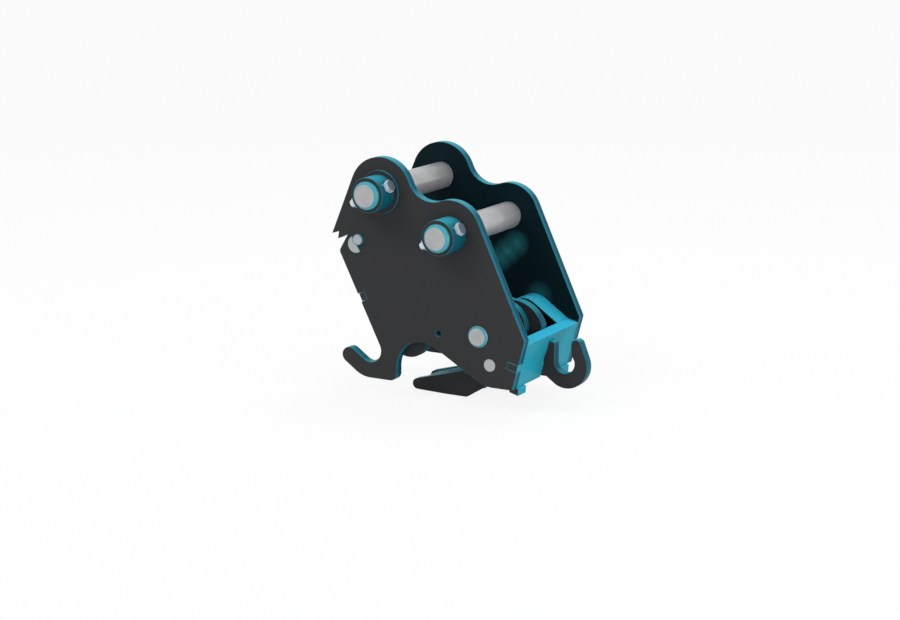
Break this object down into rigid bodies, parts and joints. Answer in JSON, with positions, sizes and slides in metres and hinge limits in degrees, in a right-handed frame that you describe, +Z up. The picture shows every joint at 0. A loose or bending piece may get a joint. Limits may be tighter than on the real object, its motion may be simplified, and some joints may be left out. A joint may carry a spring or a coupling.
{
  "type": "excavator quick coupler",
  "caption": "Excavator quick coupler with twin side plates, stick and link pins, fixed front jaws, a swinging lock hook with its hydraulic cylinder, and a lifting hook.",
  "frame": {"origin": "the stick pin's axis, on the mid plane between the side plates", "axes": "+X towards the end plate and the lifting hook, +Y along the pins from the near side plate to the far one, +Z up towards the stick"},
  "size_m": [0.4141, 0.312, 0.396],
  "materials": {
    "painted_plate": "satin",
    "painted_body": "gloss",
    "pin_steel": "satin",
    "bolt_steel": "satin",
    "bronze": "satin",
    "seal": "matte",
    "rod_chrome": "polished"
  },
  "bodies": {
    "frame": {"side_plate_near": "painted_plate", "side_plate_far": "painted_plate", "stick_boss_near": "painted_body", "link_boss_near": "painted_body", "stick_boss_far": "painted_body", "link_boss_far": "painted_body", "stick_boss_pads": "painted_body", "stick_pin": "pin_steel", "link_pin": "pin_steel", "pin_retaining_bolts": "bolt_steel", "pin_retaining_nuts": "bolt_steel", "end_plate": "painted_body", "toe_blocks": "painted_body", "front_plate": "painted_body", "lifting_hook": "painted_body", "inner_jaw_near": "painted_body", "inner_jaw_far": "painted_body", "front_tie_bar": "pin_steel", "tie_bar_keepers": "bolt_steel", "pivot_pin": "pin_steel", "stop_bar": "pin_steel", "guard_strip": "painted_body", "cylinder_base_pin": "pin_steel", "base_pin_spacers": "bolt_steel"},
    "lock_hook": {"lock_plate_near": "painted_body", "lock_plate_far": "painted_body", "lock_claw_block": "painted_body", "lock_tubes": "painted_body", "lock_bushes": "bronze", "lock_arms": "painted_body", "lock_discs": "painted_body", "lock_sleeve": "painted_body", "rod_pin": "pin_steel", "rod_pin_clips": "bolt_steel"},
    "barrel": {"cylinder_barrel": "painted_body", "cylinder_gland": "bolt_steel"},
    "rod": {"piston_rod": "rod_chrome", "piston": "bolt_steel", "piston_seal": "seal"}
  },
  "joints": [
    {"name": "lock_swing", "type": "hinge", "parent": "frame", "child": "lock_hook", "pos_m": [0.178, 0, -0.217], "axis": [0, -1, 0], "range_deg": [0, 38]},
    {"name": "barrel_swing", "type": "hinge", "parent": "frame", "child": "barrel", "pos_m": [0.042, 0, -0.232], "axis": [0, -1, 0], "range_deg": [-9.7, 0.4]},
    {"name": "rod_slide", "type": "slide", "parent": "barrel", "child": "rod", "axis": [0.8972, 0, 0.4417], "range_m": [-0.0268, 0.001]}
  ],
  "couplings": [
    {"joint": "barrel_swing", "follows": "lock_swing", "ratio": -0.24418},
    {"joint": "rod_slide", "follows": "lock_swing", "m_per_rad": -0.0395}
  ]
}
